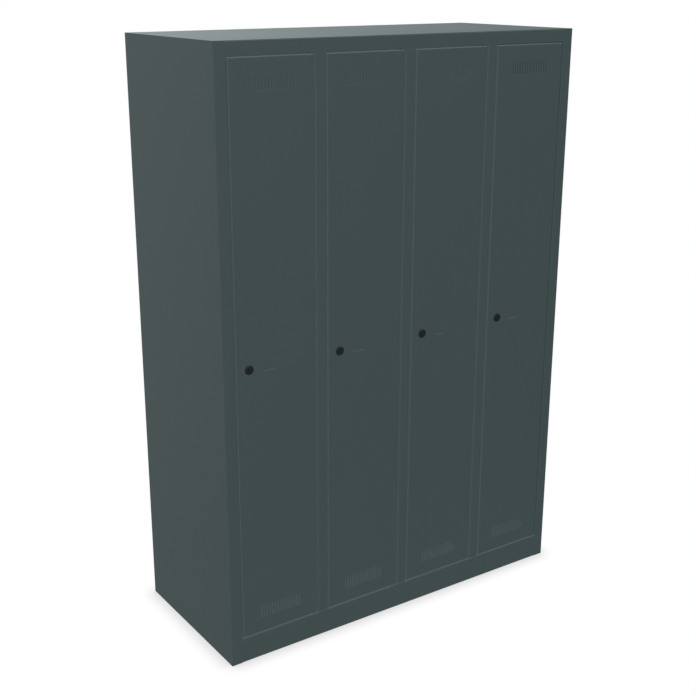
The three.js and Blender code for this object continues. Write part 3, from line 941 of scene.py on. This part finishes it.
class LOCKER_OT_lock_housings(bpy.types.Operator):
    """The round bezel and threaded barrel of each lock, and the nut that holds it"""

    bl_idname = "locker.lock_housings"
    bl_label = "Lock Housings"

    def execute(self, context):
        bore, pitch, groove = 0.0073, 0.001, 0.0004
        root = THREAD_RADIUS - groove
        skin = sheet_sizes().door_sheet
        for bay in BAY_NUMBERS:
            node = f"lock_housing_{bay}"
            low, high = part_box(node)
            at = middle(node)
            proud, barrel = depths(node)
            bezel = (high.x - low.x) / 2
            ridges = []
            for ridge in range(int((barrel - skin - pitch) / pitch)):
                start = skin + (ridge + 0.5) * pitch
                ridges += [(root, start), (THREAD_RADIUS, start + pitch / 2)]
            profile = [
                (bore, barrel),
                (bore, proud, 0.0006),
                (bezel - 0.0025, proud, 0.0004),
                (bezel - 0.0018, proud + 0.0003, 0.0004),
                (bezel, proud + 0.0012, 0.0011),
                (bezel, -TOUCH, 0.0002),
                (root, -TOUCH),
                *ridges,
                (root, barrel - pitch / 2),
                (root - groove, barrel),
            ]
            housing = turned(filleted(profile), "y", (at.x, FRONT, at.z), steps=56)
            make_piece(f"{node}_turned", housing, f"door_{bay}", lock_lacquer(), node)
            make_piece(f"lock_nut_{bay}", lock_nut(at), f"door_{bay}", zinc_plate(), soft=0.0002)
        return {"FINISHED"}


def lock_plug(bay):
    """The turned plug of a lock, with a profiled keyway in its face."""
    node = f"lock_cylinder_{bay}"
    low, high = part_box(node)
    at, (face, end) = middle(node), depths(node)
    radius, dish = (high.x - low.x) / 2, 0.0002
    shoulder = depths(f"lock_cam_{bay}")[0] - 0.0003
    profile = [
        (0, face + dish),
        (radius - 0.0022, face + dish),
        (radius - 0.0018, face, 0.0002),
        (radius, face, 0.0005),
        (radius, shoulder, 0.0003),
        (TENON_RADIUS, shoulder),
        (TENON_RADIUS, end, 0.0004),
        (0, end),
    ]
    plug = turned(filleted(profile), "y", (at.x, FRONT, at.z), steps=48)
    half, reach, ward = 0.0008, 0.004, 0.0003
    keyway = [
        (-half, -reach), (half, -reach), (half, -0.001), (ward, -0.0004), (half, 0.0002),
        (half, reach), (-half, reach), (-half, 0.0012), (-ward, 0.0006), (-half, 0),
    ]
    outline = [(at.x + u, at.z + v) for u, v in keyway]
    return cut(plug, plate(outline, "y", depth(face - 0.002), depth(face + 0.006)))


def lock_cam(bay):
    """The flat cam that turns behind the stop lip, with a round hub and a round tip."""
    low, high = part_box(f"lock_cam_{bay}")
    at = middle(f"lock_cylinder_{bay}")
    hub, tip, over = (high.x - low.x) / 2, 0.0065, 0.001
    reach = high.z - tip - at.z
    lean = math.degrees(math.asin((hub - tip) / reach))
    outline = [
        *arc((at.x, at.z), hub, 180 - lean, 360 + lean, 16),
        *arc((at.x, at.z + reach), tip, lean, 180 - lean, 16),
    ]
    hole = drill("y", (at.x, at.z), TENON_RADIUS + 0.0002, low.y - over, high.y + over)
    return cut(plate(outline, "y", low.y, high.y), hole)


def cam_bolt(bay):
    """The washer and hexagon head that hold a cam on its plug."""
    at = middle(f"lock_cylinder_{bay}")
    washer_start = depths(f"lock_cam_{bay}")[1] + TOUCH
    inner, outer, thickness, edge = 0.0025, 0.0065, 0.001, 0.0002
    washer_end = washer_start + thickness
    washer = [
        (inner, washer_start),
        (outer, washer_start, edge),
        (outer, washer_end, edge),
        (inner, washer_end),
    ]
    flats, height = 0.010, 0.003
    start = washer_end + TOUCH
    end = start + height
    dome = [(0, start - 0.001), (0.0062, start - 0.001), (0.0062, end - 0.0008), (0.0048, end), (0, end)]
    head = hexagon_head(at, flats, start, end, dome)
    return joined(turned(filleted(washer), "y", (at.x, FRONT, at.z)), head)


class LOCKER_OT_lock_cylinders(bpy.types.Operator):
    """The plug of each lock with its keyway, its cam and the bolt that holds the cam"""

    bl_idname = "locker.lock_cylinders"
    bl_label = "Lock Cylinders and Cams"

    def execute(self, context):
        for bay in BAY_NUMBERS:
            body, plug, cam = f"lock_{bay}", f"lock_cylinder_{bay}", f"lock_cam_{bay}"
            make_piece(f"{plug}_turned", lock_plug(bay), body, lock_lacquer(), plug)
            make_piece(f"{cam}_plate", lock_cam(bay), body, zinc_plate(), cam, soft=0.0004)
            make_piece(f"cam_bolt_{bay}", cam_bolt(bay), body, zinc_plate(), soft=0.0002)
        return {"FINISHED"}


# ------------------------------------------------------------------ fittings


class LOCKER_OT_shelves(bpy.types.Operator):
    """The hat shelves, each with a folded and hemmed front edge"""

    bl_idname = "locker.shelves"
    bl_label = "Hat Shelves"

    def execute(self, context):
        hem = 0.012
        for bay in BAY_NUMBERS:
            node = f"hat_shelf_{bay}"
            low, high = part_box(node)
            section = [
                (high.y, low.z),
                (high.y, high.z),
                (low.y, high.z),
                (low.y, low.z),
                (low.y + hem, low.z),
            ]
            make_fold(node, section, "x", low.x, high.x, CARCASS, body_paint())
        return {"FINISHED"}


class LOCKER_OT_coat_rails(bpy.types.Operator):
    """The drawn tube across each bay and the cup that holds each end of it"""

    bl_idname = "locker.coat_rails"
    bl_label = "Coat Rails"

    def execute(self, context):
        tube, wall, cup_length = RAIL_RADIUS, 0.0015, 0.005
        for bay in BAY_NUMBERS:
            node = f"coat_rail_{bay}"
            low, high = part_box(node)
            at, cup = middle(node), (high.z - low.z) / 2
            left_end = [
                (tube - wall, low.x),
                (cup, low.x, 0.0003),
                (cup, low.x + 0.0018, 0.0009),
                (tube + 0.0025, low.x + 0.0026, 0.001),
                (tube + 0.0022, low.x + cup_length, 0.0006),
                (tube, low.x + cup_length - 0.0002),
            ]
            right_end = [(p[0], low.x + high.x - p[1], *p[2:]) for p in reversed(left_end)]
            rail = turned(filleted(left_end + right_end), "x", (0, at.y, at.z), steps=48)
            make_piece(f"{node}_tube", rail, CARCASS, drawn_steel(), node)
        return {"FINISHED"}


class LOCKER_OT_hooks(bpy.types.Operator):
    """The moulded hooks that slide along the coat rails"""

    bl_idname = "locker.hooks"
    bl_label = "Coat Hooks"

    def execute(self, context):
        play, wall, stem, bowl, over = 0.0006, 0.0036, 0.006, 0.013, 0.001
        half, eye = stem / 2, RAIL_RADIUS + play
        outer = eye + wall
        lean = math.degrees(math.asin(half / outer))
        for bay in BAY_NUMBERS:
            node = f"coat_hook_{bay}"
            low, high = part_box(node)
            rail = middle(f"coat_rail_{bay}")
            centre = Vector((-bowl, low.z + bowl + half - rail.z))
            outline = [
                *arc((0, 0), outer, lean - 90, 270 - lean, 40),
                *arc(centre, bowl - half, 0, -180, 18),
                *arc(centre + Vector((-bowl, stem)), half, 0, 180, 10),
                *arc(centre, bowl + half, -180, 0, 22),
            ]
            place = Vector((rail.y, rail.z))
            hook = plate([place + point for point in outline], "x", low.x, high.x)
            hook = cut(hook, drill("x", place, eye, low.x - over, high.x + over, steps=40))
            body = f"hook_{bay}"
            make_piece(f"{node}_moulded", hook, body, hook_plastic(), node, soft=0.0012, steps=4)
        return {"FINISHED"}


class LOCKER_OT_buffers(bpy.types.Operator):
    """The rubber buffers on the stop lip that each door closes against"""

    bl_idname = "locker.buffers"
    bl_label = "Door Buffers"

    def execute(self, context):
        radius, play = 0.0036, 0.0002
        base = stop_depth()
        for bay in BAY_NUMBERS:
            low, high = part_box(f"door_{bay}")
            stop = f"post_{bay - 1}" if bay > 1 else "left_side_panel"
            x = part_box(stop)[1].x - sheet_sizes().stop_lip / 2
            tip = high.y - FRONT + play
            profile = [
                (0, tip),
                (radius * 0.72, tip, 0.0008),
                (radius, base - 0.0012, 0.0006),
                (radius, base),
                (0, base),
            ]
            pair = []
            for share in (0.25, 0.75):
                at = (x, FRONT, low.z + (high.z - low.z) * share)
                pair.append(turned(filleted(profile), "y", at))
            make_piece(f"door_buffers_{bay}", joined(*pair), CARCASS, buffer_rubber())
        return {"FINISHED"}


class LOCKER_OT_rivets(bpy.types.Operator):
    """The rivets that hold the partitions to the back panel"""

    bl_idname = "locker.rivets"
    bl_label = "Back Rivets"

    def execute(self, context):
        low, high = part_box("back_panel")
        radius, rise, inset, pitch = 0.0042, 0.0009, 0.0075, 0.15
        profile = [
            (0, high.y + rise),
            (radius * 0.6, high.y + rise * 0.85),
            (radius, high.y + rise * 0.2),
            (radius, high.y),
            (0, high.y),
        ]
        for wall in WALL_NUMBERS:
            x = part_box(f"partition_{wall}")[0].x + inset
            places = spaced(low.z + 0.1, high.z - 0.08, pitch)
            heads = [turned(profile, "y", (x, 0, z), steps=24) for z in places]
            make_piece(f"back_rivets_{wall}", joined(*heads), CARCASS, body_paint())
        return {"FINISHED"}


# ------------------------------------------------------------------ stage


def add_fill(name, towards, strength, receivers=None, tint=(1, 1, 1)):
    """A broad light without shadows that brightens whatever faces it, or only its receivers."""
    light = bpy.data.lights.new(name, "SUN")
    light.energy = strength * math.pi
    light.color = tint
    light.angle = math.radians(3)
    light.use_shadow = False
    lamp = bpy.data.objects.new(name, light)
    lamp.rotation_euler = Vector(towards).to_track_quat("-Z", "Y").to_euler()
    lamp.visible_glossy = False
    bpy.context.scene.collection.objects.link(lamp)
    if receivers:
        group = bpy.data.collections.new(name)
        for piece in receivers:
            group.objects.link(piece)
        lamp.light_linking.receiver_collection = group


def light_fills(stage):
    """One fill from each side, and stronger ones on what lies in the gaps and inside."""
    sides = {
        "left": (1, 0, 0), "right": (-1, 0, 0), "front": (0, 1, 0), "back": (0, -1, 0),
        "above": (0, 0, -1), "below": (0, 0, 1),
    }
    for side, towards in sides.items():
        add_fill(f"fill_{side}", towards, stage.fill)

    outside = ("left_side_panel", "right_side_panel", "top_panel", "studio")
    meshes = [piece for piece in bpy.context.scene.objects if piece.type == "MESH"]
    inner = [p for p in meshes if not p.hide_render and not p.name.startswith(outside)]
    doors = [p for p in inner if p.name.startswith("door_leaf")]
    linings = [p for p in inner if p.name.startswith(("back_panel", "partition", "hat_shelf"))]
    warm = (1.0, 0.84, 0.84)
    for name, side, share, receivers in (
        ("inner_left", "left", 1.0, inner),
        ("inner_right", "right", 1.0, inner),
        ("inner_above", "above", 2.1, inner),
        ("doors_above", "above", 1.3, doors),
        ("inner_front", "front", 1.0, linings),
    ):
        add_fill(name, sides[side], share * stage.inner_fill, receivers, warm)


def graded(tree, position, stops):
    """A colour that changes with one part of a direction, from (place, colour) pairs."""
    ramp = tree.nodes.new("ShaderNodeValToRGB")
    tree.links.new(calculate(tree, "MULTIPLY_ADD", position, 0.5, 0.5), ramp.inputs["Fac"])
    elements = ramp.color_ramp.elements
    while len(elements) < len(stops):
        elements.new(0.5)
    for element, (place, colour) in zip(elements, stops):
        element.position = (place + 1) / 2
        element.color = (*colour, 1) if isinstance(colour, tuple) else (colour, colour, colour, 1)
    return ramp.outputs["Color"]


def light_world(stage):
    """A white surround: the camera sees plain white, and the locker a soft studio."""
    world = bpy.data.worlds.new("studio")
    world.use_nodes = True
    bpy.context.scene.world = world
    tree = world.node_tree
    direction = tree.nodes.new("ShaderNodeSeparateXYZ")
    texture = tree.nodes.new("ShaderNodeTexCoord")
    tree.links.new(texture.outputs["Generated"], direction.inputs["Vector"])
    across, up = direction.outputs["X"], direction.outputs["Z"]

    reflected = tree.nodes["Background"]
    heights = graded(tree, up, ((-0.5, 0.32), (-0.28, 0.46), (-0.05, 0.52), (0.2, 0.95)))
    widths = graded(tree, across, ((-0.2, 0.8), (0.3, 1.5), (0.45, 1.15), (0.57, 0.74), (0.74, 0.34)))
    tree.links.new(calculate(tree, "MULTIPLY", heights, widths), reflected.inputs["Strength"])
    tints = graded(tree, up, ((-0.05, 1.0), (0.2, (0.91, 1.0, 1.0))))
    tree.links.new(tints, reflected.inputs["Color"])

    def plain(strength):
        background = tree.nodes.new("ShaderNodeBackground")
        background.inputs["Color"].default_value = (1, 1, 1, 1)
        background.inputs["Strength"].default_value = strength
        return background.outputs["Background"]

    def choose(factor, otherwise, then):
        mix = tree.nodes.new("ShaderNodeMixShader")
        tree.links.new(factor, mix.inputs["Fac"])
        tree.links.new(otherwise, mix.inputs[1])
        tree.links.new(then, mix.inputs[2])
        return mix.outputs["Shader"]

    ray = tree.nodes.new("ShaderNodeLightPath").outputs
    soft = choose(ray["Is Diffuse Ray"], reflected.outputs["Background"], plain(stage.ambient))
    whole = choose(ray["Is Camera Ray"], soft, plain(1.0))
    tree.links.new(whole, tree.nodes["World Output"].inputs["Surface"])


def floor_material():
    """White paper that glows evenly, with a painted contact shadow only close to what stands on it."""
    material = bpy.data.materials.new("studio floor")
    material.use_nodes = True
    tree = material.node_tree
    tree.nodes.remove(tree.nodes["Principled BSDF"])
    # painted contact shadow: the glow is dimmed where ambient occlusion finds the locker close by
    near = tree.nodes.new("ShaderNodeAmbientOcclusion")
    near.samples = 16
    near.inputs["Distance"].default_value = 0.055
    shade = tree.nodes.new("ShaderNodeMapRange")
    tones = {"From Min": 0.45, "From Max": 0.98, "To Min": 0.72, "To Max": 1.0}
    for label, value in tones.items():
        shade.inputs[label].default_value = value
    tree.links.new(near.outputs["AO"], shade.inputs["Value"])
    paper = tree.nodes.new("ShaderNodeEmission")
    tree.links.new(shade.outputs["Result"], paper.inputs["Strength"])
    tree.links.new(paper.outputs["Emission"], tree.nodes["Material Output"].inputs["Surface"])
    return material


class LOCKER_OT_stage(bpy.types.Operator):
    """The camera, the white floor and the studio light"""

    bl_idname = "locker.stage"
    bl_label = "Stage"

    def execute(self, context):
        stage = context.scene.locker_stage
        context.scene.view_settings.view_transform = "Standard"
        context.scene.view_settings.look = "None"
        lens = bpy.data.cameras.new("camera")
        lens.sensor_width = 36.0
        lens.lens = stage.lens
        lens.shift_x, lens.shift_y = stage.shift
        camera = bpy.data.objects.new("camera", lens)
        camera.location = stage.eye
        camera.rotation_euler = (math.pi / 2 - stage.elevation, 0, -stage.azimuth)
        context.scene.collection.objects.link(camera)
        context.scene.camera = camera

        reach, bottom, top = 12.0, -0.02, -0.0005
        floor = as_object(slab((-reach, -reach, bottom), (reach, reach, top)), "studio_floor")
        floor.data.materials.append(floor_material())
        floor.visible_glossy = False
        floor.visible_diffuse = False
        light_world(stage)
        light_fills(stage)
        return {"FINISHED"}


# ------------------------------------------------------------------ panel and registration

SETTINGS = {
    "locker_sheet": LockerSheetSettings,
    "locker_door": LockerDoorSettings,
    "locker_finish": LockerFinishSettings,
    "locker_stage": LockerStageSettings,
}

# in the order that they run: the stage comes last, because its lamps pick out finished pieces
OPERATORS = (
    LOCKER_OT_sides,
    LOCKER_OT_sheets,
    LOCKER_OT_rails,
    LOCKER_OT_posts,
    LOCKER_OT_doors,
    LOCKER_OT_stiffeners,
    LOCKER_OT_card_holders,
    LOCKER_OT_pivots,
    LOCKER_OT_lock_housings,
    LOCKER_OT_lock_cylinders,
    LOCKER_OT_shelves,
    LOCKER_OT_coat_rails,
    LOCKER_OT_hooks,
    LOCKER_OT_buffers,
    LOCKER_OT_rivets,
    LOCKER_OT_stage,
)


class LOCKER_PT_panel(bpy.types.Panel):
    """Lists the locker's pieces and settings"""

    bl_idname = "LOCKER_PT_panel"
    bl_label = "Clothes Locker"
    bl_space_type = "VIEW_3D"
    bl_region_type = "UI"
    bl_category = "Locker"

    def draw(self, context):
        for operator in OPERATORS:
            self.layout.operator(operator.bl_idname)
        for name, settings in SETTINGS.items():
            box = self.layout.box()
            box.label(text=settings.__doc__)
            for field in settings.__annotations__:
                box.prop(getattr(context.scene, name), field)


def register():
    for name, settings in SETTINGS.items():
        bpy.utils.register_class(settings)
        setattr(bpy.types.Scene, name, PointerProperty(type=settings))
    for operator in OPERATORS:
        bpy.utils.register_class(operator)
    bpy.utils.register_class(LOCKER_PT_panel)


def unregister():
    bpy.utils.unregister_class(LOCKER_PT_panel)
    for operator in reversed(OPERATORS):
        bpy.utils.unregister_class(operator)
    for name, settings in SETTINGS.items():
        delattr(bpy.types.Scene, name)
        bpy.utils.unregister_class(settings)


def main():
    register()
    for operator in OPERATORS:
        group, action = operator.bl_idname.split(".")
        getattr(getattr(bpy.ops, group), action)()


if __name__ == "__main__":
    main()
